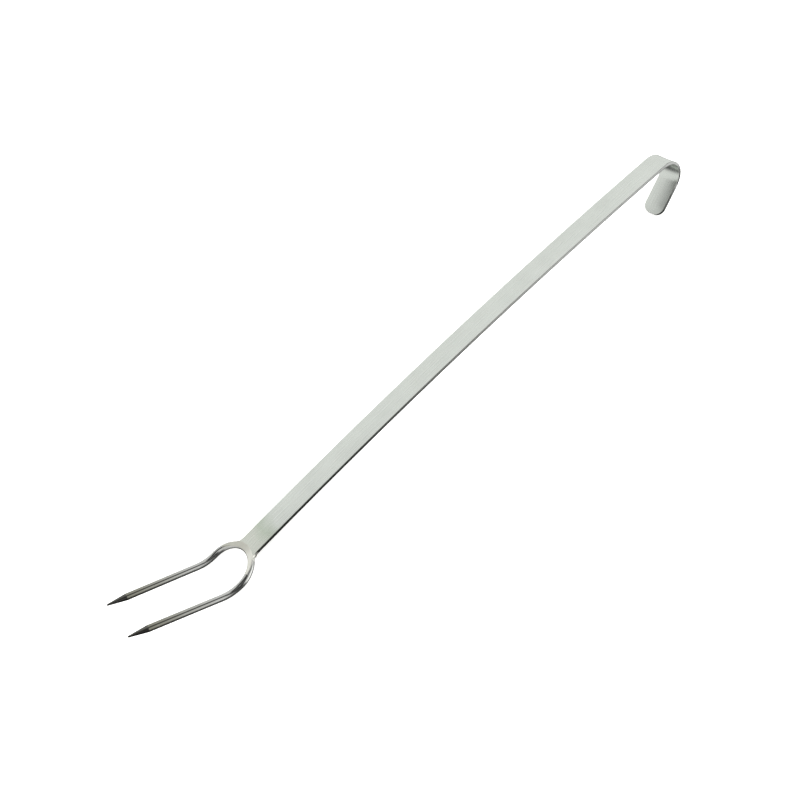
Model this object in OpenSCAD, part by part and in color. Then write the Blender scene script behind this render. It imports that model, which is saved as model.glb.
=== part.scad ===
// Two-tined fork with a long flat handle and a hooked end, in stainless steel.
// A flat strap is bowed and hooked. A round rod is bent to a U, raised at the shoulders
// and ground to two points. Weld metal joins the crown of the U to the coped end of the strap.
// The fork lies on a table as it would be put down: on the end of the hook's tail and on the
// undersides of both shoulders. +X runs along the handle towards the hook, +Z is up, and the
// origin is on the table, under the middle of the whole length.

/* [Handle strap] */
// Width of the strap
strap_w = 19; // [16:0.5:25]
// Thickness of the strap
strap_t = 2.5; // [2:0.1:3]
// Length of the bowed handle from the tine rod to the hook, along its upper face
handle_len = 423; // [200:1:500]
// Radius of the handle's long, shallow bow
bow_r = 3700; // [2500:100:8000]

/* [Hook] */
// Inner radius of the hook
hook_r = 12; // [9:0.5:16]
// Angle that the hook turns through
hook_sweep = 144; // [125:1:160]
// Length of the straight tail after the hook, along its outer face
tail_len = 28; // [18:1:40]
// Radius of the two rounded corners at the end of the tail
tail_corner_r = 7; // [3:0.5:8]

/* [Tine rod] */
// Diameter of the rod
rod_d = 5; // [4:0.1:6]
// Radius of the U, along the middle of the rod
crown_r = 19; // [15:0.5:26]
// Angle by which each tine leans in towards the other
toe_in = 1.25; // [0:0.25:3]
// Angle that each shoulder turns up through
shoulder_bend = 34; // [20:1:45]
// Radius of each shoulder, along the middle of the rod
shoulder_r = 26; // [15:1:40]
// Length of the round, straight part of each tine
shank_len = 53.5; // [30:0.5:120]
// Length of each ground point
point_len = 14; // [8:0.5:30]
// Radius left at the very tip
tip_r = 0.6; // [0.2:0.1:1]

/* [Welds] */
// Height of the rod that is ground off, level with the upper face of the strap
grind_depth = 0.7; // [0.3:0.1:0.9]
// Distance from the joint at which the grinding runs out
grind_reach = 14; // [8:1:20]
// Radius of the fillets between the rod and the edges of the strap
fillet_r = 4; // [2:0.5:6]
// Radius of the bead across the back of the joint
bead_r = 2; // [1.5:0.1:2.5]

/* [Hidden] */
$fn = 180;

rod_r = rod_d / 2;
half_w = strap_w / 2;
cope_r = crown_r + rod_r;        // outside of the U, and the strap's end that seats on it
rod_z = grind_depth - rod_r;     // middle of the rod, below the upper face of the strap
weld_z = max(rod_z, -strap_t);   // where the weld metal of the upper side meets the bead below
straight_len = shank_len + point_len;

// Neighbouring lengths of one piece run this far into each other, so that they are one solid
lap = 0.3;
// A tight bend is this much slimmer on each face, as metal that was stretched
bend_thinning = 0.02;
face_r = hook_r + strap_t - bend_thinning;  // hook, to the upper face of the straight strap

// Joint frame: the origin is on the upper face, in the middle of the strap's coped end,
// with x towards the hook. The bow ends at bow_end, and its heading is then bow_a downwards.
bow_a = handle_len / bow_r * 180 / PI;
bow_end = bow_r * [sin(bow_a), cos(bow_a) - 1];
hook_c = bow_end - face_r * [sin(bow_a), cos(bow_a)];
turned = bow_a + hook_sweep;
tail_end = hook_c + face_r * [sin(turned), cos(turned)] + tail_len * [cos(turned), -sin(turned)];

// The table touches the round underside of the shoulders and the end of the tail.
shoulder_x = -cope_r - crown_r * sin(toe_in);
shoulder_c = [shoulder_x, rod_z + shoulder_r];
reach = tail_end - shoulder_c;
lean = atan2(reach[1], reach[0]) + asin((shoulder_r + rod_r - bend_thinning) / norm(reach));

// A point of the joint frame, seen square to the table
function on_table(p) = [p[0] * cos(lean) + p[1] * sin(lean), p[1] * cos(lean) - p[0] * sin(lean)];
tine_run = shoulder_r * sin(shoulder_bend) + straight_len * cos(shoulder_bend);
tine_rise = shoulder_r * (1 - cos(shoulder_bend)) + straight_len * sin(shoulder_bend);
tip = [shoulder_x - tine_run * cos(toe_in), rod_z + tine_rise];
x_low = on_table(tip)[0] - tip_r * sin(shoulder_bend - lean);
x_high = on_table(hook_c)[0] + face_r - bend_thinning;
drop = on_table(tail_end)[1];

// Corner fillets, from the middle of the U
fillet_c = [sqrt(pow(cope_r + fillet_r, 2) - pow(half_w + fillet_r, 2)), half_w + fillet_r];
corner_x = sqrt(cope_r * cope_r - half_w * half_w);
edge_a = asin(half_w / cope_r);

// Moves a shape from the joint frame to where it lies on the table
module lay_down() {
    translate([-(x_low + x_high) / 2, 0, -drop]) rotate([0, lean, 0]) children();
}

// Strap bent round the origin, from straight above it and on towards the hook. r is the radius
// to its upper face, and it starts the length before earlier and ends the length after later.
module bent_strap(r, angle, thinning, before, after) {
    before_a = before / r * 180 / PI;
    after_a = after / r * 180 / PI;
    rotate([90, 0, 0]) rotate([0, 0, 90 - angle - after_a])
        rotate_extrude(angle = before_a + angle + after_a, $fn = 360)
            translate([r - strap_t + thinning, -half_w])
                square([strap_t - 2 * thinning, strap_w]);
}

// Plan of the tail: straight sides and two rounded corners
module tail_plan() {
    translate([0, -half_w]) square([tail_len - tail_corner_r, strap_w]);
    translate([0, tail_corner_r - half_w]) square([tail_len, strap_w - 2 * tail_corner_r]);
    for (side = [-1, 1])
        translate([tail_len - tail_corner_r, side * (half_w - tail_corner_r)])
            circle(r = tail_corner_r);
}

module handle_strap() {
    color([0.80, 0.81, 0.80]) lay_down() {
        difference() {
            translate([0, 0, -bow_r]) bent_strap(bow_r, bow_a, 0, rod_d, 0);
            translate([-cope_r, 0, -2 * strap_t]) cylinder(h = 4 * strap_t, r = cope_r);
        }
        translate([hook_c[0], 0, hook_c[1]]) {
            rotate([0, bow_a, 0]) bent_strap(face_r, hook_sweep, bend_thinning, lap, lap);
            rotate([0, turned, 0]) translate([0, 0, face_r - strap_t])
                linear_extrude(strap_t) tail_plan();
        }
    }
}

// Section of the rod, at its distance from the middle of the U
module rod_section() {
    translate([crown_r, 0]) circle(r = rod_r);
}

// One shoulder and its straight, pointed tine, from the end of the U. The shoulder laps into
// the U and the straight, which close over it.
module tine() {
    lap_a = lap / shoulder_r * 180 / PI;
    rotate([0, 0, 90 + toe_in]) translate([crown_r, 0, shoulder_r]) rotate([90, 0, 90]) {
        rotate([0, 0, -90 - lap_a]) rotate_extrude(angle = shoulder_bend + 2 * lap_a)
            translate([shoulder_r, 0]) circle(r = rod_r - bend_thinning);
        rotate([0, 0, shoulder_bend - 90]) translate([shoulder_r, 0, 0]) rotate([-90, 0, 0]) {
            cylinder(h = shank_len, r = rod_r);
            translate([0, 0, shank_len]) cylinder(h = point_len, r1 = rod_r, r2 = tip_r);
        }
    }
}

module tine_rod() {
    color([0.62, 0.63, 0.64]) lay_down() difference() {
        translate([-cope_r, 0, rod_z]) {
            rotate([0, 0, -90 - toe_in]) rotate_extrude(angle = 180 + 2 * toe_in) rod_section();
            tine();
            mirror([0, 1, 0]) tine();
        }
        // upper side of the crown, ground from the level of the strap and running out on the arms
        rotate([0, atan(grind_depth / grind_reach), 0])
            translate([-grind_reach - rod_r, -2 * crown_r, 0])
                cube([grind_reach + 2 * rod_r, 4 * crown_r, rod_d]);
    }
}

// Ring of weld metal around the outside of the crown, from its widest line out to the radius r,
// between two heights in the joint frame
module weld_ring(r, low, high, angle) {
    translate([-cope_r, 0, 0]) rotate([0, 0, -angle]) rotate_extrude(angle = 2 * angle)
        difference() {
            translate([crown_r, low]) square([r - crown_r, high - low]);
            translate([0, rod_z]) rod_section();
        }
}

module front_weld() {
    color([0.72, 0.72, 0.70]) lay_down() weld_ring(cope_r, weld_z, 0, edge_a);
}

module corner_weld() {
    intersection() {
        weld_ring(cope_r + fillet_r, -strap_t, 0, 60);
        translate([-cope_r, 0, -strap_t]) linear_extrude(strap_t) difference() {
            polygon([[0, 0], [corner_x, half_w], [fillet_c[0], half_w], fillet_c]);
            translate(fillet_c) circle(r = fillet_r);
        }
    }
}

module left_corner_weld() {
    color([0.72, 0.72, 0.70]) lay_down() corner_weld();
}

module right_corner_weld() {
    color([0.72, 0.72, 0.70]) lay_down() mirror([0, 1, 0]) corner_weld();
}

module back_weld() {
    color([0.66, 0.65, 0.62]) lay_down()
        translate([-cope_r, 0, 0]) rotate([0, 0, -edge_a]) rotate_extrude(angle = 2 * edge_a)
            difference() {
                translate([cope_r, -strap_t]) circle(r = bead_r);
                translate([0, rod_z]) rod_section();
                translate([cope_r, -strap_t]) square(2 * bead_r);
                translate([crown_r, weld_z]) square(2 * bead_r + rod_r);
            }
}

handle_strap();
tine_rod();
front_weld();
left_corner_weld();
right_corner_weld();
back_weld();
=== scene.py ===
import bmesh
import bpy
import numpy as np
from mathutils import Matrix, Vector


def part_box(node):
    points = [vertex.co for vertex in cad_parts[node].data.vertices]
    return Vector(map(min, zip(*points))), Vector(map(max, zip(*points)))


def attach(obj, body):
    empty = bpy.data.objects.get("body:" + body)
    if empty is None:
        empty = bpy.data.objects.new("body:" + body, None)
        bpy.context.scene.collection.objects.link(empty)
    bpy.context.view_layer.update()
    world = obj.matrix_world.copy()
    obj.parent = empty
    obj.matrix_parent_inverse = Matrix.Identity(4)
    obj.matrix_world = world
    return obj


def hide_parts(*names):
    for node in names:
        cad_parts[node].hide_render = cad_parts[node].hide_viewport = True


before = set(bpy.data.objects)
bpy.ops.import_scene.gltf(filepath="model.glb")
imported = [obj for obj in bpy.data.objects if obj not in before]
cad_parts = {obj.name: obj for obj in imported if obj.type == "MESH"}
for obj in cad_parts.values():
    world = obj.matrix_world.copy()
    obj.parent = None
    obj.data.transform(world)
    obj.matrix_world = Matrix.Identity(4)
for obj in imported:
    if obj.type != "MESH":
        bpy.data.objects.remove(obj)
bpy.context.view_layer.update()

bl_info = {
    "name": "Two-Tined Roasting Fork",
    "version": (1, 0, 0),
    "blender": (4, 5, 0),
    "location": "View3D > Sidebar > Fork",
    "description": "Stainless steel fork: a hooked flat handle and a bent, pointed rod, welded together",
    "category": "Add Mesh",
}

MM = 0.001
BODY = "root"
# Furthest that a piece's box may lie from the box of the CAD nodes it stands for
PLACE_TOLERANCE = 3 * MM
# Points of a piece nearer than this are one point, and edges shorter than the second are dropped
MERGE_DISTANCE = 1e-7
SHORTEST_EDGE = 1e-8
# Faces that meet at more than this angle are shaded with a sharp edge between them
SHARP_ANGLE = np.radians(24)

# A tight bend is this much slimmer on each face, as metal that was stretched
BEND_THINNING = 0.02 * MM
# How far the visible surfaces lie under those of the CAD, whose curves are cut into flats
SKIN = 0.01 * MM
# How much narrower a steel strip gets, for each part that it gets longer
POISSON = 0.3
# Lengths over which the bends of the strap and of the rod become slimmer
STRAP_THINNING_RUN = 2 * MM
ROD_THINNING_RUN = 1 * MM
# Lengths over which the hook's arch across starts, and ends before the end of the tail
ARCH_START_RUN = 20 * MM
ARCH_END_RUN = 9 * MM
# Length from the joint over which the strap's eased edges reach their full radius
EASE_RUN = 1.5 * MM
# Distance from the joint where the middle line that the strap's rows fan out from begins
SPINE_START = 9 * MM

# Points round the rod: across the ground flat, and round the rest, of which a few to either side
# of the flat were ground too, to blend it in
FLAT_COLUMNS = 16
ROUND_COLUMNS = 84
BLEND_COLUMNS = 5
# Least half-angle of the rod that the points across the flat take up, where there is no flat
LEAST_FLAT_ANGLE = np.radians(12)

# How far the ground seam runs on over the rod and the strap
SEAM_LAP = 0.15 * MM
# The corner fillets' tongues, and how deep their hidden walls lie in the metal
TONGUE_LENGTH = 2.4 * MM
TONGUE_PROUD = 0.05 * MM
WELD_BURIED = 1.2 * MM
# How much of a tongue's height has closed up at its end
TONGUE_CLOSING = 0.97
# Depth of the dips between ripples, as a part of the bead's radius
RIPPLE_DEPTH = 0.07
# How far a ripple lags at the bead's sides, in ripples, and the turn that the lag is tipped by
RIPPLE_LAG = 0.45
RIPPLE_TIP = np.radians(20)

# A Mix node's colour sockets go by number, because its kinds share their names
MIX_FIRST, MIX_SECOND, MIX_COLOUR = 6, 7, 2


def linear(code):
    """A colour given as sRGB hex, as the three linear numbers that shaders take."""
    parts = np.array([int(code[i:i + 2], 16) for i in (1, 3, 5)]) / 255
    low = parts / 12.92
    high = ((parts + 0.055) / 1.055) ** 2.4
    return tuple(np.where(parts <= 0.04045, low, high).tolist())


class ForkSizes(bpy.types.PropertyGroup):
    """Sizes of the fork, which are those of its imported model."""

    strap_width: bpy.props.FloatProperty(
        name="Strap width", description="Width of the flat handle",
        default=19 * MM, min=0.001, unit="LENGTH", precision=5)
    strap_thickness: bpy.props.FloatProperty(
        name="Strap thickness", description="Thickness of the flat handle",
        default=2.5 * MM, min=0.0005, unit="LENGTH", precision=5)
    edge_round: bpy.props.FloatProperty(
        name="Edge round", description="Radius to which the strap's edges are eased",
        default=0.4 * MM, min=0.00005, unit="LENGTH", precision=5)
    handle_length: bpy.props.FloatProperty(
        name="Handle length", description="Length of the bowed handle along its upper face",
        default=423 * MM, min=0.05, unit="LENGTH")
    bow_radius: bpy.props.FloatProperty(
        name="Bow radius", description="Radius of the handle's long, shallow bow",
        default=3700 * MM, min=0.5, unit="LENGTH")
    hook_radius: bpy.props.FloatProperty(
        name="Hook radius", description="Inner radius of the hook",
        default=12 * MM, min=0.003, unit="LENGTH", precision=5)
    hook_sweep: bpy.props.FloatProperty(
        name="Hook sweep", description="Angle that the hook turns through",
        default=np.radians(144), min=0.5, max=3.0, subtype="ANGLE")
    tail_length: bpy.props.FloatProperty(
        name="Tail length", description="Length of the straight tail after the hook",
        default=28 * MM, min=0.005, unit="LENGTH", precision=5)
    tail_corner: bpy.props.FloatProperty(
        name="Tail corner", description="Radius of the two corners at the end of the tail",
        default=7 * MM, min=0.001, unit="LENGTH", precision=5)
    rod_diameter: bpy.props.FloatProperty(
        name="Rod diameter", description="Diameter of the bent rod",
        default=5 * MM, min=0.001, unit="LENGTH", precision=5)
    crown_radius: bpy.props.FloatProperty(
        name="Crown radius", description="Radius of the U, along the middle of the rod",
        default=19 * MM, min=0.005, unit="LENGTH", precision=5)
    toe_in: bpy.props.FloatProperty(
        name="Toe-in", description="Angle by which each tine leans towards the other",
        default=np.radians(1.25), min=0, subtype="ANGLE")
    shoulder_bend: bpy.props.FloatProperty(
        name="Shoulder bend", description="Angle that each shoulder turns up through",
        default=np.radians(34), min=0.1, subtype="ANGLE")
    shoulder_radius: bpy.props.FloatProperty(
        name="Shoulder radius", description="Radius of each shoulder, along the middle of the rod",
        default=26 * MM, min=0.005, unit="LENGTH", precision=5)
    shank_length: bpy.props.FloatProperty(
        name="Shank length", description="Length of the round, straight part of each tine",
        default=53.5 * MM, min=0.005, unit="LENGTH", precision=5)
    point_length: bpy.props.FloatProperty(
        name="Point length", description="Length of each ground point",
        default=14 * MM, min=0.002, unit="LENGTH", precision=5)
    tip_radius: bpy.props.FloatProperty(
        name="Tip radius", description="Radius left at the very tip",
        default=0.6 * MM, min=0.00005, unit="LENGTH", precision=5)
    grind_depth: bpy.props.FloatProperty(
        name="Grind depth", description="Height of the rod that is ground off at the joint",
        default=0.7 * MM, min=0.0001, unit="LENGTH", precision=5)
    grind_reach: bpy.props.FloatProperty(
        name="Grind reach", description="Distance from the joint where the grinding runs out",
        default=14 * MM, min=0.001, unit="LENGTH", precision=5)
    fillet_radius: bpy.props.FloatProperty(
        name="Fillet radius", description="Radius of the weld fillets beside the strap",
        default=4 * MM, min=0.0005, unit="LENGTH", precision=5)
    hook_arch: bpy.props.FloatProperty(
        name="Hook arch", description="How far the strap's middle lies inside its sides in the hook",
        default=0.35 * MM, min=0, unit="LENGTH", precision=5)
    bead_radius: bpy.props.FloatProperty(
        name="Bead radius", description="Radius of the weld bead across the back",
        default=2 * MM, min=0.0005, unit="LENGTH", precision=5)
    bead_pitch: bpy.props.FloatProperty(
        name="Bead pitch", description="Distance from one ripple of the back bead to the next",
        default=1.3 * MM, min=0.0002, unit="LENGTH", precision=5)


class ForkFinishes(bpy.types.PropertyGroup):
    """Colours of the fork's finishes."""

    satin: bpy.props.FloatVectorProperty(
        name="Satin steel", description="Colour of the strap's broad faces",
        subtype="COLOR", size=3, default=linear("#DBDEDA"))
    # Darker than the faces: partly sheared steel, partly painted shade for the dim room it mirrors
    edge: bpy.props.FloatVectorProperty(
        name="Sheared edge", description="Colour of the strap's narrow edges",
        subtype="COLOR", size=3, default=linear("#979896"))
    polished: bpy.props.FloatVectorProperty(
        name="Polished rod", description="Colour of the bent rod",
        subtype="COLOR", size=3, default=linear("#CFD0CE"))
    # Dark: partly the burn of grinding, partly painted shade for the dark that the points mirror
    point: bpy.props.FloatVectorProperty(
        name="Ground point", description="Colour of the tines' points",
        subtype="COLOR", size=3, default=linear("#676762"))
    ground: bpy.props.FloatVectorProperty(
        name="Ground joint", description="Colour of the rod and welds where they are ground",
        subtype="COLOR", size=3, default=linear("#F0F0EA"))
    bead: bpy.props.FloatVectorProperty(
        name="Weld bead", description="Colour of the bead as it was welded",
        subtype="COLOR", size=3, default=linear("#ABA79C"))
    floor: bpy.props.FloatVectorProperty(
        name="Floor", description="Colour of the pale floor",
        subtype="COLOR", size=3, default=linear("#F4F4F2"))


class ForkLayout:
    """Lengths and places that follow from the sizes, in the joint frame: its origin is on the
    strap's upper face, in the middle of the coped end, with x towards the hook and z up."""

    def __init__(self, sizes):
        self.sizes = sizes
        self.half_width = sizes.strap_width / 2
        self.rod_radius = sizes.rod_diameter / 2
        self.cope_radius = sizes.crown_radius + self.rod_radius
        self.rod_height = sizes.grind_depth - self.rod_radius
        self.weld_height = max(self.rod_height, -sizes.strap_thickness)
        self.grind_slope = sizes.grind_depth / sizes.grind_reach
        self.face_radius = sizes.hook_radius + sizes.strap_thickness - BEND_THINNING
        self.bow_angle = sizes.handle_length / sizes.bow_radius
        self.turned = self.bow_angle + sizes.hook_sweep
        bow_end = sizes.bow_radius * np.array([np.sin(self.bow_angle), np.cos(self.bow_angle) - 1])
        inward = np.array([np.sin(self.bow_angle), np.cos(self.bow_angle)])
        self.hook_centre = bow_end - self.face_radius * inward
        self.hook_end = sizes.handle_length + self.face_radius * sizes.hook_sweep
        self.strap_end = self.hook_end + sizes.tail_length
        self.edge_angle = np.arcsin(self.half_width / self.cope_radius)
        self.crown_end = np.pi / 2 + sizes.toe_in
        self.crown_length = sizes.crown_radius * self.crown_end
        self.bend_end = self.crown_length + sizes.shoulder_radius * sizes.shoulder_bend
        self.point_start = self.bend_end + sizes.shank_length
        self.tine_end = self.point_start + sizes.point_length
        self.lean, self.shift, self.drop = self.resting_place()

    def resting_place(self):
        """Turn about Y and the two shifts that lay the fork down. The table is the line that
        touches the underside of the shoulders, a circle, and the end of the tail, a point."""
        sizes = self.sizes
        tail = self.hook_centre + self.face_radius * np.array([np.sin(self.turned), np.cos(self.turned)])
        tail = tail + sizes.tail_length * np.array([np.cos(self.turned), -np.sin(self.turned)])
        shoulder_x = -self.cope_radius - sizes.crown_radius * np.sin(sizes.toe_in)
        shoulder = np.array([shoulder_x, self.rod_height + sizes.shoulder_radius])
        gap = tail - shoulder
        under = sizes.shoulder_radius + self.rod_radius - BEND_THINNING
        lean = np.arctan2(gap[1], gap[0]) + np.arcsin(under / np.hypot(gap[0], gap[1]))
        straight = sizes.shank_length + sizes.point_length
        bend = sizes.shoulder_bend
        run = sizes.shoulder_radius * np.sin(bend) + straight * np.cos(bend)
        rise = sizes.shoulder_radius * (1 - np.cos(bend)) + straight * np.sin(bend)
        tip = np.array([shoulder_x - run * np.cos(sizes.toe_in), self.rod_height + rise])
        along = np.array([np.cos(lean), np.sin(lean)])
        low = tip @ along - sizes.tip_radius * np.sin(bend - lean)
        high = self.hook_centre @ along + self.face_radius - BEND_THINNING
        drop = tail[1] * np.cos(lean) - tail[0] * np.sin(lean)
        return lean, -(low + high) / 2, drop

    def lay_down(self, x, y, z):
        """Points of the joint frame, turned about Y by the lean and set down on the table."""
        cos, sin = np.cos(self.lean), np.sin(self.lean)
        return np.stack([x * cos + z * sin + self.shift, y + 0 * x, z * cos - x * sin - self.drop], -1)


def smooth(value, low, high):
    """0 below low, 1 above high, and a smooth S between."""
    t = np.clip((value - low) / (high - low), 0, 1)
    return t * t * (3 - 2 * t)


def steps(*stops):
    """Rising numbers from stops given as (value, count): count equal steps up to each value."""
    runs = [np.linspace(a[0], b[0], b[1] + 1)[1:] for a, b in zip(stops, stops[1:])]
    return np.concatenate([[stops[0][0]], *runs])


def grid_faces(rows, columns, close_rows=False, close_columns=False):
    """Quads between neighbours on a grid of points; a closed side joins its last to its first."""
    r = np.arange(rows if close_rows else rows - 1)[:, None]
    c = np.arange(columns if close_columns else columns - 1)[None, :]
    r_next, c_next = (r + 1) % rows, (c + 1) % columns
    corners = [r * columns + c, r_next * columns + c, r_next * columns + c_next, r * columns + c_next]
    return np.stack([k + 0 * (r + c) for k in corners], -1).reshape(-1, 4)


def make_piece(name, points, faces, uv, slots, materials, node):
    """A closed piece from a grid: its name, places, quads, unrolled coordinates of each point, one
    material number for each quad, its materials and the CAD node it replaces.
    Points that share a place are merged, and the piece has to come out closed."""
    mesh = bpy.data.meshes.new(name)
    mesh.from_pydata(points.reshape(-1, 3), [], faces)
    layer = mesh.uv_layers.new(name="unrolled")
    layer.data.foreach_set("uv", uv.reshape(-1, 2)[faces.ravel()].astype(np.float32).ravel())
    mesh.polygons.foreach_set("material_index", slots.astype(np.int32))
    for material in materials:
        mesh.materials.append(material)
    shell = bmesh.new()
    shell.from_mesh(mesh)
    bmesh.ops.remove_doubles(shell, verts=shell.verts, dist=MERGE_DISTANCE)
    bmesh.ops.dissolve_degenerate(shell, edges=shell.edges, dist=SHORTEST_EDGE)
    bmesh.ops.recalc_face_normals(shell, faces=shell.faces)
    if not all(edge.is_manifold for edge in shell.edges):
        raise RuntimeError(name + " isn't closed")
    if shell.calc_volume(signed=True) < 0:
        bmesh.ops.reverse_faces(shell, faces=shell.faces)
    shell.to_mesh(mesh)
    shell.free()
    mesh.shade_smooth()
    mesh.set_sharp_from_angle(angle=SHARP_ANGLE)
    piece = bpy.data.objects.new(name, mesh)
    bpy.context.scene.collection.objects.link(piece)
    check_place(piece, node)
    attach(piece, BODY)
    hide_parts(node)
    return piece


def check_place(piece, node):
    """Raises an error where a piece's box is off the box of the CAD node it stands for."""
    low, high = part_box(node)
    own = np.array([corner[:] for corner in piece.bound_box])
    off = max(np.abs(own.min(0) - low).max(), np.abs(own.max(0) - high).max())
    print(piece.name, "lies within", round(off / MM, 3), "mm of its CAD box")
    if off > PLACE_TOLERANCE:
        raise RuntimeError(piece.name + " isn't where its CAD node is")


def strap_place(layout, s, y, depth):
    """A point of the strap from the length along its upper face, its place across and its depth.
    The length runs along an arc of the bow, an arc of the hook and a straight tail, and the depth
    goes straight in from the upper face. In the hook the strap is a hair slimmer, and its inner
    side is wider than its outer side, as bending squeezes one and stretches the other. It is also
    arched across, by a guessed amount: its middle lies deeper than its sides, through the hook and
    into the tail."""
    sizes = layout.sizes
    thickness = sizes.strap_thickness
    in_hook = smooth(s, sizes.handle_length, sizes.handle_length + STRAP_THINNING_RUN)
    in_hook = in_hook * (1 - smooth(s, layout.hook_end - STRAP_THINNING_RUN, layout.hook_end))
    slimmer = 2 * (SKIN + BEND_THINNING * in_hook) / thickness
    depth = thickness / 2 + (depth - thickness / 2) * (1 - slimmer)
    strain = (thickness / 2 - depth) / (layout.face_radius - thickness / 2) * in_hook
    y = y * (1 - POISSON * strain)
    bent = smooth(s, sizes.handle_length, sizes.handle_length + ARCH_START_RUN)
    bent = bent * (1 - smooth(s, layout.strap_end - ARCH_END_RUN, layout.strap_end))
    depth = depth + sizes.hook_arch * bent * (1 - np.clip(y / layout.half_width, -1, 1) ** 2)
    turn = np.where(s < sizes.handle_length, s / sizes.bow_radius,
                    layout.bow_angle + (s - sizes.handle_length) / layout.face_radius)
    turn = np.minimum(turn, layout.turned)
    bow_x = sizes.bow_radius * np.sin(turn)
    bow_z = sizes.bow_radius * (np.cos(turn) - 1)
    over = np.maximum(s - layout.hook_end, 0)
    hook_x = layout.hook_centre[0] + layout.face_radius * np.sin(turn) + over * np.cos(turn)
    hook_z = layout.hook_centre[1] + layout.face_radius * np.cos(turn) - over * np.sin(turn)
    on_bow = s < sizes.handle_length
    x = np.where(on_bow, bow_x, hook_x) - depth * np.sin(turn)
    z = np.where(on_bow, bow_z, hook_z) - depth * np.cos(turn)
    return layout.lay_down(x, y, z)


def strap_outline(layout):
    """Plan of the strap, unrolled: along one side, round the two corners of the tail, back along
    the other side and across the coped end, with the direction outwards at each point."""
    sizes = layout.sizes
    half = layout.half_width
    corner = sizes.tail_corner
    cope_x = np.sqrt(layout.cope_radius ** 2 - half ** 2) - layout.cope_radius
    bow_s = sizes.handle_length
    side_s = steps((cope_x, 0), (0, 6), (8 * MM, 16), (bow_s - 4 * MM, 110), (bow_s, 4),
                   (layout.hook_end, 76), (layout.strap_end - corner, 18))
    turn = np.linspace(-np.pi / 2, 0, 19)[1:]
    corner_s = layout.strap_end - corner + corner * np.cos(turn)
    corner_y = corner - half + corner * np.sin(turn)
    flat_y = np.linspace(corner - half, half - corner, 9)[1:-1]
    half_s = np.concatenate([side_s, corner_s])
    half_y = np.concatenate([0 * side_s - half, corner_y])
    half_out_s = np.concatenate([0 * side_s, np.cos(turn)])
    half_out_y = np.concatenate([0 * side_s - 1, np.sin(turn)])
    cope_y = np.linspace(half, -half, 41)[1:-1]
    cope_s = np.sqrt(layout.cope_radius ** 2 - cope_y ** 2) - layout.cope_radius
    s = np.concatenate([half_s, 0 * flat_y + layout.strap_end, half_s[::-1], cope_s])
    y = np.concatenate([half_y, flat_y, -half_y[::-1], cope_y])
    out_s = np.concatenate([half_out_s, 0 * flat_y + 1, half_out_s[::-1], 0 * cope_y - 1])
    out_y = np.concatenate([half_out_y, 0 * flat_y, -half_out_y[::-1], 0 * cope_y])
    return s, y, out_s, out_y


def make_strap(layout, materials):
    """The flat handle: a wall profile carried round the outline of its unrolled plan, then rolled
    along the handle's path. The profile starts on the strap's middle line, crosses the upper face,
    turns down over an eased edge, and comes back under the lower face. Along the coped end, which
    is welded, the edge isn't eased."""
    sizes = layout.sizes
    s, y, out_s, out_y = strap_outline(layout)
    ease = sizes.edge_round * smooth(s, 0, EASE_RUN)
    spine_s = np.clip(s, SPINE_START, layout.strap_end - layout.half_width)
    across = np.array([0, 0.25, 0.5, 0.75, 0.9, 0.985])
    turn = np.linspace(0, np.pi / 2, 7)
    side = np.linspace(0, 1, 5)[1:-1]
    # For each point of the profile: how far out from the middle line, how much of the eased
    # radius it lies inside the outline, and its depth in parts of that radius and of the thickness
    level = np.ones(len(across))
    fan = np.concatenate([across, 1 + 0 * turn, 1 + 0 * side, 1 + 0 * turn, across[::-1]])
    inset = np.concatenate([level, 1 - np.sin(turn), 0 * side, 1 - np.cos(turn), level])
    eased = np.concatenate([0 * level, 1 - np.cos(turn), 1 - 2 * side, np.sin(turn) - 1, 0 * level])
    whole = np.concatenate([0 * level, 0 * turn, side, 1 + 0 * turn, level])
    edge_s = s[:, None] - (out_s * ease)[:, None] * inset
    edge_y = y[:, None] - (out_y * ease)[:, None] * inset
    place_s = spine_s[:, None] + (edge_s - spine_s[:, None]) * fan
    place_y = edge_y * fan
    depth = ease[:, None] * eased + sizes.strap_thickness * whole
    rows, columns = place_s.shape
    faces = grid_faces(rows, columns, close_rows=True)
    across_wall = np.sign(y)[:, None] * (np.abs(place_y) + depth)
    uv = np.stack([place_s, across_wall], -1)
    column = np.arange(len(faces)) % (columns - 1)
    wall_start = len(across) + 2
    on_edge = (column >= wall_start) & (column < columns - 1 - wall_start)
    points = strap_place(layout, place_s, place_y, depth)
    return make_piece("strap_handle", points, faces, uv, on_edge, materials,
                      "handle_strap")


def rod_centre(layout, run):
    """Middle of the rod, the direction out to its side and its direction up, from the length
    along it to either side of the crown: an arc of the crown in the plane of the U, an arc of the
    shoulder that lifts out of that plane, and a straight. The other side is the mirror image."""
    sizes = layout.sizes
    mirror = np.where(run < 0, -1.0, 1.0)
    run = np.abs(run)
    turn = np.minimum(run / sizes.crown_radius, layout.crown_end)
    lift = np.clip((run - layout.crown_length) / sizes.shoulder_radius, 0, sizes.shoulder_bend)
    beyond = np.maximum(run - layout.bend_end, 0)
    heading = np.array([-np.sin(layout.crown_end), np.cos(layout.crown_end)])
    level = sizes.shoulder_radius * np.sin(lift) + beyond * np.cos(lift)
    x = sizes.crown_radius * np.cos(turn) + level * heading[0] - layout.cope_radius
    y = sizes.crown_radius * np.sin(turn) + level * heading[1]
    z = sizes.shoulder_radius * (1 - np.cos(lift)) + beyond * np.sin(lift) + layout.rod_height
    centre = np.stack([x, y * mirror, z], -1)
    out = np.stack([np.cos(turn), np.sin(turn) * mirror, 0 * turn], -1)
    up = np.stack([-np.sin(lift) * heading[0], -np.sin(lift) * heading[1] * mirror, np.cos(lift)], -1)
    return centre, out, up


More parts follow.
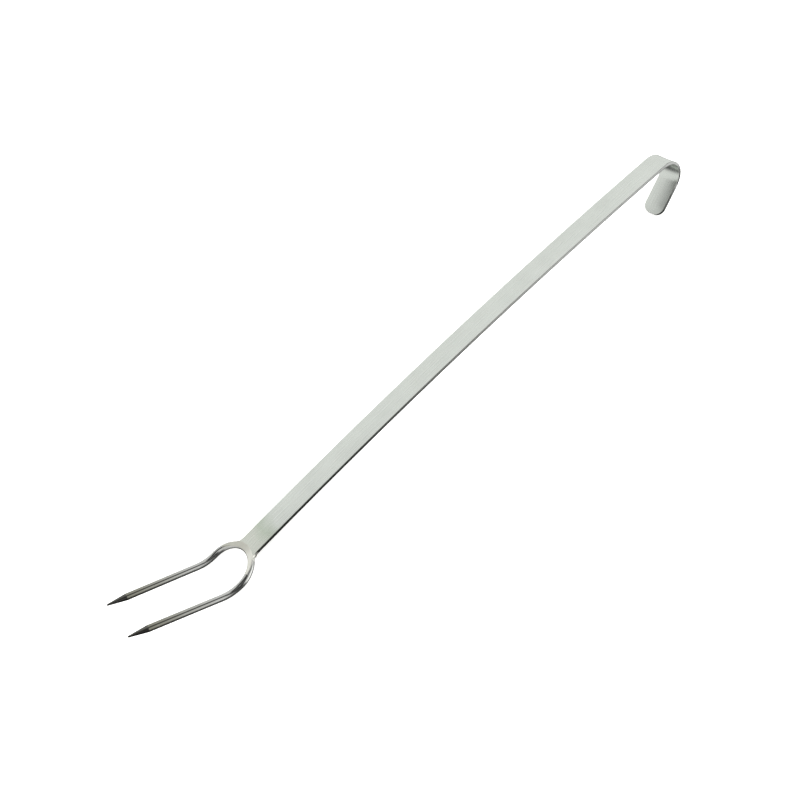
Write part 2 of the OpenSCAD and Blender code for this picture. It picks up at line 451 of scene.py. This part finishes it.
def rod_radius(layout, run):
    """Radius of the rod at a length along it: the bar, a hair less in the shoulders, a cone to
    the small tip, and a round end to it."""
    sizes = layout.sizes
    run = np.abs(run)
    in_bend = smooth(run, layout.crown_length, layout.crown_length + ROD_THINNING_RUN)
    in_bend = in_bend * (1 - smooth(run, layout.bend_end - ROD_THINNING_RUN, layout.bend_end))
    bar = layout.rod_radius - SKIN - BEND_THINNING * in_bend
    along = np.clip((run - layout.point_start) / sizes.point_length, 0, 1)
    cone = bar + (sizes.tip_radius - layout.rod_radius) * along
    to_end = np.clip((layout.tine_end - run) / sizes.tip_radius, 0, 1)
    return cone * np.sqrt(1 - (1 - to_end) ** 2)


def make_rod(layout, materials):
    """The bent rod: circles carried along its path from tip to tip, where the angle round each
    circle is spread so that lines of points follow the two sides of the ground flat. Points above
    the grinding plane, which rises away from the strap, are lowered onto it."""
    sizes = layout.sizes
    half = steps((0, 0), (layout.crown_length, 90), (layout.bend_end, 34),
                 (layout.point_start - 0.3 * MM, 26), (layout.point_start - 0.03 * MM, 1),
                 (layout.point_start, 1), (layout.point_start + 0.03 * MM, 1),
                 (layout.tine_end - sizes.tip_radius, 24))
    tip = layout.tine_end - sizes.tip_radius * (1 - np.sin(np.linspace(0, np.pi / 2, 7)[1:]))
    half = np.concatenate([half, tip])
    run = np.concatenate([-half[:0:-1], half])
    centre, out, up = rod_centre(layout, run)
    radius = rod_radius(layout, run)
    in_crown = np.abs(run) < layout.crown_length
    tilt = layout.grind_slope * out[:, 0]
    reach = -(centre[:, 2] + layout.grind_slope * centre[:, 0]) / (radius + 1e-12) / np.hypot(1, tilt)
    open_angle = np.arccos(np.clip(np.where(in_crown, reach, 1), -1, 1))
    flat_half = np.maximum(open_angle, LEAST_FLAT_ANGLE)[:, None]
    flat_middle = (np.pi / 2 - np.arctan(np.where(in_crown, tilt, 0)))[:, None]
    in_flat = np.linspace(-1, 1, FLAT_COLUMNS + 1)
    in_round = np.linspace(0, 1, ROUND_COLUMNS + 1)[1:-1]
    angle = np.concatenate([flat_middle + flat_half * in_flat,
                            flat_middle + flat_half + (2 * np.pi - 2 * flat_half) * in_round], axis=1)
    ring = out[:, None] * np.cos(angle)[..., None] + up[:, None] * np.sin(angle)[..., None]
    place = centre[:, None] + ring * radius[:, None, None]
    plane = np.where(in_crown[:, None], -layout.grind_slope * place[..., 0], 1)
    cut = plane < place[..., 2] - 1e-9
    place[..., 2] = np.minimum(place[..., 2], plane)
    rows, columns = angle.shape
    faces = grid_faces(rows, columns, close_columns=True)
    uv = np.stack([run[:, None] + 0 * angle, angle * layout.rod_radius], -1)
    face_row, face_column = np.divmod(np.arange(len(faces)), columns)
    middle = np.abs(run[face_row] + run[face_row + 1]) / 2
    slots = np.where(middle > layout.point_start, 1, 0)
    near_flat = (face_column + BLEND_COLUMNS) % columns < FLAT_COLUMNS + 2 * BLEND_COLUMNS
    slots = np.where(near_flat & cut.any(1)[face_row], 2, slots)
    points = layout.lay_down(place[..., 0], place[..., 1], place[..., 2])
    return make_piece("bent_tine_rod", points, faces, uv, slots, materials,
                      "tine_rod")


def close_ends(loops):
    """Adds a row before and after a row of loops, all of it in the middle of the end loop, so that
    the loops close to a point."""
    first = loops[:1].mean(1, keepdims=True) + 0 * loops[:1]
    last = loops[-1:].mean(1, keepdims=True) + 0 * loops[-1:]
    return np.concatenate([first, loops, last])


def make_weld(layout, name, x, y, z, material, node):
    """A closed weld from a row of loops in the joint frame. Its unrolled coordinates are the
    length along the row and the length round the loop."""
    points = close_ends(layout.lay_down(x, y, z))
    along = np.linalg.norm(np.diff(points.mean(1), axis=0), axis=1)
    around = np.linalg.norm(np.diff(points, axis=1), axis=2).mean(0)
    u = np.concatenate([[0], np.cumsum(along)])
    v = np.concatenate([[0], np.cumsum(around)])
    uv = np.stack(np.meshgrid(u, v, indexing="ij"), -1)
    faces = grid_faces(*points.shape[:2], close_columns=True)
    slots = np.zeros(len(faces))
    return make_piece(name, points, faces, uv, slots, [material], node)


def make_front_seam(layout, material):
    """The ground seam over the joint: for each angle about the middle of the U, a section between
    the rod and the coped end of the strap. Its top runs from the height of the ground rod to that
    of the strap, and its edges dip a little below both."""
    angle = np.linspace(-1, 1, 61)[:, None] * layout.edge_angle
    across = np.array([0, 0.04, 0.12, 0.3, 0.5, 0.7, 0.88, 0.96, 1, 1, 0.5, 0])
    # in thousandths of a millimetre
    dip = np.array([60, 20, 0, 0, 0, 0, 0, 20, 60, 1200, 1200, 1200]) * MM / 1000
    half_chord = np.sqrt(layout.rod_radius ** 2 - layout.rod_height ** 2)
    start = layout.sizes.crown_radius + half_chord - SEAM_LAP
    radius = start + (layout.cope_radius + SEAM_LAP - start) * across + 0 * angle
    x = radius * np.cos(angle) - layout.cope_radius
    z = -layout.grind_slope * np.minimum(x, 0) * (1 - across) - dip
    return make_weld(layout, "ground_front_seam", x, radius * np.sin(angle), z, material,
                     "front_weld")


def make_corner_fillet(layout, side, name, material, node):
    """A weld fillet in the corner between the rod and one side of the strap. Its outer wall is an
    arc that touches both, and it runs out in a tongue along each. For each place along it, the
    section is a block with rounded outer corners, and its inner wall is buried in the metal."""
    sizes = layout.sizes
    half = layout.half_width
    radius = sizes.fillet_radius
    around = layout.cope_radius
    middle_y = half + radius
    middle_x = np.sqrt((around + radius) ** 2 - middle_y ** 2)
    rod_angle = np.arctan2(middle_y, middle_x)
    t = steps((-1, 12), (0, 12), (1, 28), (2, 12))[:, None]
    on_rod = np.clip(-t, 0, 1)
    on_strap = np.clip(t - 1, 0, 1)
    inside = np.clip(t, 0, 1)
    turn = rod_angle - np.pi + (np.pi / 2 - rod_angle) * inside
    tongue_angle = rod_angle + on_rod * TONGUE_LENGTH / around
    # section: part of the way from the inner to the outer wall, and from the top to the bottom
    out = np.array([0, 0.3, 0.6, 0.8, 0.92, 0.98, 1, 1, 1, 0.98, 0.92, 0.8, 0.6, 0.3, 0, 0])
    down = np.array([0.03, 0.01, 0, 0.01, 0.04, 0.1, 0.18, 0.5, 0.82, 0.9, 0.96, 0.99, 1, 1, 1, 0.5])
    top = weld_height_at(layout, 0.0, on_rod, on_strap)
    bottom = weld_height_at(layout, -sizes.strap_thickness, on_rod, on_strap)
    z = top + (bottom - top) * down
    # outer wall: the arc, then the surface of the rod or the side of the strap
    from_middle = np.clip(1 - ((z - layout.rod_height) / layout.rod_radius) ** 2, 0, 1)
    rod_face = sizes.crown_radius + layout.rod_radius * np.sqrt(from_middle) + TONGUE_PROUD
    wall = around + (rod_face - around) * smooth(on_rod, 0, 0.4)
    arc_x = np.where(t < 0, wall * np.cos(tongue_angle), middle_x + radius * np.cos(turn))
    arc_y = np.where(t < 0, wall * np.sin(tongue_angle), middle_y + radius * np.sin(turn))
    outer_x = arc_x + on_strap * TONGUE_LENGTH
    outer_y = arc_y + TONGUE_PROUD * smooth(t, 0.9, 1.1)
    # inner wall: inside the rod, round the corner, and inside the strap
    bury = around - WELD_BURIED
    corner_x = np.sqrt(around ** 2 - half ** 2)
    weights = (1 - inside) ** 2, 2 * inside * (1 - inside), inside ** 2
    inner_x = (weights[0] * bury * np.cos(tongue_angle) + weights[1] * (corner_x - WELD_BURIED / 2)
               + weights[2] * (middle_x + on_strap * TONGUE_LENGTH))
    inner_y = (weights[0] * bury * np.sin(tongue_angle) + weights[1] * (half - WELD_BURIED)
               + weights[2] * (half - WELD_BURIED / 2))
    x = inner_x + (outer_x - inner_x) * out - around
    y = inner_y + (outer_y - inner_y) * out
    return make_weld(layout, name, x, y * side, z, material, node)


def weld_height_at(layout, height, on_rod, on_strap):
    """A height of the corner fillet, drawn in to the middle of the rod or of the strap's side as
    the tongues run out."""
    to_rod = smooth(on_rod, 0, 1) * (layout.weld_height - height)
    to_strap = smooth(on_strap, 0, 1) * (-layout.sizes.strap_thickness / 2 - height)
    return height + TONGUE_CLOSING * (to_rod + to_strap)


def make_back_bead(layout, material):
    """The bead across the back: circles carried round the coped end, a little smaller between
    ripples. Each ripple lags at the bead's sides, and the ends close as domes."""
    sizes = layout.sizes
    angle = np.linspace(-1, 1, 261)[:, None] * layout.edge_angle
    turn = np.linspace(0, 2 * np.pi, 49)[:-1]
    run = angle * layout.cope_radius
    lag = RIPPLE_LAG * np.sin(turn + RIPPLE_TIP) ** 2 * sizes.bead_pitch
    ripple = 2 * ((run + lag) / sizes.bead_pitch % 1) - 1
    to_end = np.clip((layout.edge_angle - np.abs(angle)) * layout.cope_radius / sizes.bead_radius, 0, 1)
    dome = np.sqrt(1 - (1 - to_end) ** 2)
    size = sizes.bead_radius * (1 - RIPPLE_DEPTH * ripple ** 2) * dome
    radius = layout.cope_radius + size * np.cos(turn)
    z = size * np.sin(turn) - sizes.strap_thickness
    x = radius * np.cos(angle) - layout.cope_radius
    return make_weld(layout, "rippled_back_bead", x, radius * np.sin(angle), z, material,
                     "back_weld")


def add(tree, kind, inputs=(), **settings):
    """Adds a node of a kind to a tree, with its settings, and with each of its inputs set to a
    value or linked to another node's output."""
    made = tree.nodes.new(kind)
    for key, value in settings.items():
        setattr(made, key, value)
    for socket, value in dict(inputs).items():
        if isinstance(value, bpy.types.NodeSocket):
            tree.links.new(value, made.inputs[socket])
        else:
            made.inputs[socket].default_value = value
    return made


def new_material(name):
    """An empty material, its node tree and its output node."""
    material = bpy.data.materials.new(name)
    material.use_nodes = True
    material.node_tree.nodes.clear()
    return material, material.node_tree, add(material.node_tree, "ShaderNodeOutputMaterial")


def colour(value, shade=1.0):
    """A linear colour with its alpha, lightened or darkened."""
    return (value[0] * shade, value[1] * shade, value[2] * shade, 1.0)


def steel(name, tint, roughness, spread, grain, patch, dark, relief, anisotropy=0.0, tints=(),
          across=False):
    """Steel with a grain and faint patches. The grain is noise stretched along the piece's length,
    from its unrolled coordinates: its scale is how many streaks follow each other along a metre
    and how many lie across it. It moves the roughness by the spread either way and gives the
    relief. The patches darken the tint by the part that dark says, and patch is how many of them
    follow each other along a metre.
    The tints multiply it by a run of colours, set out along the piece's length or across the fork;
    some of these runs are painted light and shade."""
    material, tree, output = new_material(name)
    unrolled = add(tree, "ShaderNodeUVMap", uv_map="unrolled").outputs["UV"]
    place = add(tree, "ShaderNodeTexCoord").outputs["Object"]
    stretched = add(tree, "ShaderNodeMapping", {"Vector": unrolled, "Scale": (*grain, 1)})
    streaks = add(tree, "ShaderNodeTexNoise",
                  {"Vector": stretched.outputs["Vector"], "Scale": 1.0, "Detail": 3.0})
    cloud = add(tree, "ShaderNodeTexNoise", {"Vector": place, "Scale": patch, "Detail": 2.0})
    patches = add(tree, "ShaderNodeMapRange",
                  {"Value": cloud.outputs["Fac"], "From Min": 0.3, "From Max": 0.7})
    mottled = add(tree, "ShaderNodeMix",
                  {"Factor": patches.outputs["Result"], MIX_FIRST: colour(tint, 1 - dark),
                   MIX_SECOND: colour(tint, 1 + dark / 2)}, data_type="RGBA")
    base = mottled.outputs[MIX_COLOUR]
    if tints:
        axes = add(tree, "ShaderNodeSeparateXYZ", {"Vector": place if across else unrolled})
        run = axes.outputs["Y" if across else "X"]
        base = tinted_along(tree, base, run, cloud.outputs["Fac"], tints)
    rough = add(tree, "ShaderNodeMapRange",
                {"Value": streaks.outputs["Fac"], "From Min": 0.3, "From Max": 0.7,
                 "To Min": roughness - spread, "To Max": roughness + spread})
    bump = add(tree, "ShaderNodeBump",
               {"Height": streaks.outputs["Fac"], "Strength": 1.0, "Distance": relief})
    shader = add(tree, "ShaderNodeBsdfPrincipled",
                 {"Metallic": 1.0, "Base Color": base, "Roughness": rough.outputs["Result"],
                  "Normal": bump.outputs["Normal"], "Anisotropic": anisotropy,
                  "Anisotropic Rotation": 0.25})
    tree.links.new(shader.outputs["BSDF"], output.inputs["Surface"])
    return material


# How far the cloud noise moves the borders of the tints
TINT_WANDER = 16 * MM


def tinted_along(tree, base, run, cloud, tints):
    """Multiplies a colour by a run of tints, each at its place along the run. The cloud noise
    moves their borders by a few millimetres either way."""
    wander = add(tree, "ShaderNodeMath", {0: cloud, 1: TINT_WANDER, 2: run},
                 operation="MULTIPLY_ADD").outputs["Value"]
    first, last = tints[0][0], tints[-1][0]
    part = add(tree, "ShaderNodeMapRange",
               {"Value": wander, "From Min": first + TINT_WANDER / 2,
                "From Max": last + TINT_WANDER / 2})
    ramp = add(tree, "ShaderNodeValToRGB", {"Fac": part.outputs["Result"]})
    stops = ramp.color_ramp.elements
    for place, _ in tints[1:-1]:
        stops.new((place - first) / (last - first))
    for stop, (place, code) in zip(stops, tints):
        stop.position = (place - first) / (last - first)
        stop.color = colour(linear(code))
    tinted = add(tree, "ShaderNodeMix",
                 {"Factor": 1.0, MIX_FIRST: base, MIX_SECOND: ramp.outputs["Color"]},
                 data_type="RGBA", blend_type="MULTIPLY")
    return tinted.outputs[MIX_COLOUR]


# Tint of the strap's faces, by distance from the joint, as the weld's heat may leave it: strongest
# in a band that stands off from the weld. A guess, made for the look
STRAP_TINTS = (
    (0, "#F6F7F0"), (9 * MM, "#F4F5EE"), (18 * MM, "#DFE6DA"), (28 * MM, "#F9FBF8"),
    (45 * MM, "#FCFEFB"),
)
# Tint of the strap's edges, by distance from the joint: darker in a band near the weld, as on the
# faces; lighter on towards the hook, a painted reflection of the brighter room that the edge
# mirrors there; and dark again on the tail, painted shade for the fork's own shade that the
# tail's edge mirrors. A guess, made for the look
EDGE_TINT_AND_PAINTED_LIGHT = (
    (0, "#F0F0EC"), (19 * MM, "#A8AAA0"), (45 * MM, "#D0D0CC"), (300 * MM, "#F6F6F4"),
    (459 * MM, "#FFFFFF"), (470 * MM, "#868684"),
)
# Tint of the tines, darker and warmer towards the points, by distance along the rod from the
# middle of the crown. A guess, made for the look
TINE_TINTS = (
    (-112 * MM, "#A3A295"), (-95 * MM, "#B3B2A5"), (-50 * MM, "#F4F4F2"),
    (50 * MM, "#F4F4F2"), (95 * MM, "#B3B2A5"), (112 * MM, "#A3A295"),
)
# The ground joint is painted lighter on its right side, by distance across the fork: a painted
# highlight for the light that its flats catch on that side. A guess, made for the look
GROUND_PAINTED_HIGHLIGHT = ((-8 * MM, "#FCFCF8"), (3 * MM, "#D8D8D2"))


class ForkOperator:
    """What the operators that add a piece share."""

    bl_options = {"REGISTER", "UNDO"}

    def layout_of(self, context):
        """The fork's layout, from the sizes that the scene holds."""
        return ForkLayout(context.scene.fork_sizes)


class FORK_OT_strap(ForkOperator, bpy.types.Operator):
    """Add the flat satin handle with its hook"""

    bl_idname = "roasting_fork.strap"
    bl_label = "Handle strap"

    def execute(self, context):
        finishes = context.scene.fork_finishes
        # Stainless strip brushed lengthwise on a belt: an even, pale sheen, spread across the
        # grain. Real scratches lie about 0.1 mm apart, and are drawn 25 mm long and 0.6 mm apart,
        # coarse enough to show, over patches 17 mm wide
        satin = steel("belt_ground_satin_stainless", finishes.satin, roughness=0.28, spread=0.03,
                      grain=(40, 1600), patch=60, dark=0.04, relief=0.001 * MM, anisotropy=0.35,
                      tints=STRAP_TINTS)
        # The narrow side of the strip, as the slitting shears left it: glossier, and darker, partly as
        # sheared steel is and partly as painted shade for the dim room that it mirrors; with drag lines
        # drawn 17 mm long and 0.7 mm apart, and patches 5 mm wide
        edge = steel("sheared_stainless_edge", finishes.edge, roughness=0.22, spread=0.05,
                     grain=(60, 1400), patch=200, dark=0.08, relief=0.003 * MM, tints=EDGE_TINT_AND_PAINTED_LIGHT)
        make_strap(self.layout_of(context), [satin, edge])
        return {"FINISHED"}


class FORK_OT_rod(ForkOperator, bpy.types.Operator):
    """Add the polished rod, bent to two pointed tines"""

    bl_idname = "roasting_fork.rod"
    bl_label = "Tine rod"

    def execute(self, context):
        finishes = context.scene.fork_finishes
        # Drawn and polished rod: clear dark and light lines along it, hardly broken by draw marks
        # 17 mm long and 1.1 mm apart, and patches 7 mm wide
        polished = steel("polished_stainless_rod", finishes.polished, roughness=0.10, spread=0.03,
                         grain=(60, 900), patch=150, dark=0.05, relief=0.0006 * MM,
                         tints=TINE_TINTS)
        # Points turned against a grinding wheel, with rings round them 0.4 mm apart, and patches 3 mm
        # wide: dark, partly from the burn of grinding and partly as painted shade for the dark that the
        # points mirror
        point = steel("coarse_ground_point", finishes.point, roughness=0.16, spread=0.04,
                      grain=(2500, 300), patch=300, dark=0.15, relief=0.003 * MM)
        ground = ground_steel(finishes)
        make_rod(self.layout_of(context), [polished, point, ground])
        return {"FINISHED"}


def ground_steel(finishes):
    """The finish of the joint where rod and welds are ground level, made once and shared. A disc
    leaves it pale and soft, with short scratches drawn 3 mm long and 1.1 mm apart, and patches
    8 mm wide. It is painted lighter on the fork's right side, a painted highlight."""
    found = bpy.data.materials.get("disc_ground_stainless")
    return found or steel("disc_ground_stainless", finishes.ground, roughness=0.36, spread=0.06,
                          grain=(300, 900), patch=120, dark=0.04, relief=0.003 * MM,
                          tints=GROUND_PAINTED_HIGHLIGHT, across=True)


class FORK_OT_welds(ForkOperator, bpy.types.Operator):
    """Add the ground seam and fillets on the front of the joint, and the bead on its back"""

    bl_idname = "roasting_fork.welds"
    bl_label = "Welds"

    def execute(self, context):
        finishes = context.scene.fork_finishes
        layout = self.layout_of(context)
        ground = ground_steel(finishes)
        make_front_seam(layout, ground)
        make_corner_fillet(layout, 1, "left_ground_fillet", ground, "left_corner_weld")
        make_corner_fillet(layout, -1, "right_ground_fillet", ground, "right_corner_weld")
        # Weld metal as it froze: dull and slightly straw-coloured, pitted in spots 2 mm wide, and
        # patches 2.5 mm wide
        bead = steel("stainless_weld_bead", finishes.bead, roughness=0.32, spread=0.06,
                     grain=(500, 500), patch=400, dark=0.1, relief=0.004 * MM)
        make_back_bead(layout, bead)
        return {"FINISHED"}


class FORK_OT_stage(bpy.types.Operator):
    """Add the pale floor, the soft studio light and the camera"""

    bl_idname = "roasting_fork.stage"
    bl_label = "Stage"
    bl_options = {"REGISTER", "UNDO"}

    def execute(self, context):
        make_floor(context.scene.fork_finishes.floor)
        make_sky(context.scene)
        make_camera(context.scene)
        context.scene.view_settings.view_transform = "Standard"
        return {"FINISHED"}


# Width of the floor, in metres
FLOOR_WIDTH = 60.0
# Brightness of the even light that falls on the board and shows behind the fork
EVEN_LIGHT = 1.5
# Brightness that shines through the board from below
BOARD_GLOW = 0.6
# Brightness of what the steel reflects, straight below and from the horizon up
ROOM_BELOW = 0.22
ROOM_AROUND = 0.92
# Light cards and dark flags round the fork: direction, half-angles in degrees where each is full
# and where it has faded out, and its brightness
CARDS = (
    ((-0.05, -0.25, 0.96), 12, 27, 0.03),
    ((-0.45, 0.20, 0.87), 12, 29, 0.12),
    ((-0.15, -0.85, 0.50), 13, 27, 0.03),
    ((0.22, -0.70, 0.68), 9, 18, 0.03),
    ((-0.20, -0.97, -0.05), 10, 24, 0.08),
    ((-0.42, -0.86, -0.28), 12, 28, 0.12),
    ((0.62, -0.35, 0.70), 12, 26, 0.15),
    ((0.05, -0.65, -0.76), 20, 36, 0.10),
    ((-0.46, 0.59, -0.66), 16, 34, 0.08),
    ((0.66, -0.62, -0.42), 16, 34, 1.80),
    ((0.55, -0.25, -0.80), 12, 24, 0.15),
    ((0.37, -0.91, -0.15), 4, 12, 1.40),
)


def make_floor(tint):
    """A wide, flat floor at the height on which the fork lies."""
    side = np.array([-0.5, 0.5]) * FLOOR_WIDTH
    x, y = np.meshgrid(side, side, indexing="ij")
    mesh = bpy.data.meshes.new("pale_floor")
    corners = np.stack([x, y, 0 * x], -1).reshape(-1, 3)
    mesh.from_pydata(corners, [], [(0, 2, 3, 1)])
    floor = bpy.data.objects.new("pale_floor", mesh)
    bpy.context.scene.collection.objects.link(floor)
    # opal acrylic board, lit a little from below, which keeps shadows faint
    material, tree, output = new_material("opal_acrylic_board")
    shader = add(tree, "ShaderNodeBsdfPrincipled",
                 {"Base Color": colour(tint), "Roughness": 0.9, "Specular IOR Level": 0.0,
                  "Emission Color": colour(tint), "Emission Strength": BOARD_GLOW})
    tree.links.new(shader.outputs["BSDF"], output.inputs["Surface"])
    mesh.materials.append(material)
    # the steel reflects the dim room below the horizon, not the bright board
    floor.visible_glossy = False


def make_sky(scene):
    """The studio: an even pale light for the board, and for the steel a pale room that is dimmer
    below the fork, with light cards and dark flags blended in."""
    world = bpy.data.worlds.new("soft_studio")
    scene.world = world
    world.use_nodes = True
    tree = world.node_tree
    tree.nodes.clear()
    direction = add(tree, "ShaderNodeTexCoord").outputs["Generated"]
    height = add(tree, "ShaderNodeSeparateXYZ", {"Vector": direction}).outputs["Z"]
    room = add(tree, "ShaderNodeMapRange",
               {"Value": height, "From Min": -0.85, "From Max": -0.05,
                "To Min": ROOM_BELOW, "To Max": ROOM_AROUND})
    level = room.outputs["Result"]
    for toward, full, faded, brightness in CARDS:
        unit = np.array(toward) / np.linalg.norm(toward)
        facing = add(tree, "ShaderNodeVectorMath", {0: direction, 1: unit}, operation="DOT_PRODUCT")
        reach = add(tree, "ShaderNodeMapRange",
                    {"Value": facing.outputs["Value"], "From Min": np.cos(np.radians(faded)),
                     "From Max": np.cos(np.radians(full))}, interpolation_type="SMOOTHSTEP")
        blend = add(tree, "ShaderNodeMix",
                    {"Factor": reach.outputs["Result"], "A": level, "B": brightness})
        level = blend.outputs["Result"]
    mirrored = add(tree, "ShaderNodeLightPath").outputs["Is Glossy Ray"]
    seen = add(tree, "ShaderNodeMix", {"Factor": mirrored, "A": EVEN_LIGHT, "B": level})
    light = add(tree, "ShaderNodeBackground", {"Color": seen.outputs["Result"]})
    output = add(tree, "ShaderNodeOutputWorld")
    tree.links.new(light.outputs["Background"], output.inputs["Surface"])


# The camera's sensor and lens in millimetres, its place in metres and its turn about X, Y and Z
SENSOR_WIDTH = 36.0
FOCAL_LENGTH = 46.22
CAMERA_PLACE = (-0.18323, -0.49864, 0.55156)
CAMERA_TURN = np.radians((41.487, 18.575, -37.926))


def make_camera(scene):
    """The camera, above the fork, to its right and nearer to its tines than to its hook."""
    lens = bpy.data.cameras.new("studio_camera")
    lens.sensor_width = SENSOR_WIDTH
    lens.lens = FOCAL_LENGTH
    camera = bpy.data.objects.new("studio_camera", lens)
    camera.location = CAMERA_PLACE
    camera.rotation_euler = CAMERA_TURN
    scene.collection.objects.link(camera)
    scene.camera = camera


class FORK_PT_sidebar(bpy.types.Panel):
    """The fork's operators, sizes and colours"""

    bl_idname = "FORK_PT_sidebar"
    bl_label = "Roasting Fork"
    bl_space_type = "VIEW_3D"
    bl_region_type = "UI"
    bl_category = "Fork"

    def draw(self, context):
        for operator in OPERATORS:
            self.layout.operator(operator.bl_idname)
        for group in (context.scene.fork_sizes, context.scene.fork_finishes):
            box = self.layout.box()
            for name in group.__annotations__:
                box.prop(group, name)


OPERATORS = (FORK_OT_strap, FORK_OT_rod, FORK_OT_welds, FORK_OT_stage)
CLASSES = (ForkSizes, ForkFinishes, *OPERATORS, FORK_PT_sidebar)


def register():
    """Makes the operators, the panel and the two groups of properties known to Blender."""
    for cls in CLASSES:
        bpy.utils.register_class(cls)
    bpy.types.Scene.fork_sizes = bpy.props.PointerProperty(type=ForkSizes)
    bpy.types.Scene.fork_finishes = bpy.props.PointerProperty(type=ForkFinishes)


def unregister():
    """Takes back what register did."""
    del bpy.types.Scene.fork_finishes
    del bpy.types.Scene.fork_sizes
    for cls in reversed(CLASSES):
        bpy.utils.unregister_class(cls)


def main():
    """Builds the fork and its stage."""
    register()
    for operator in OPERATORS:
        group, name = operator.bl_idname.split(".")
        getattr(getattr(bpy.ops, group), name)()


if __name__ == "__main__":
    main()
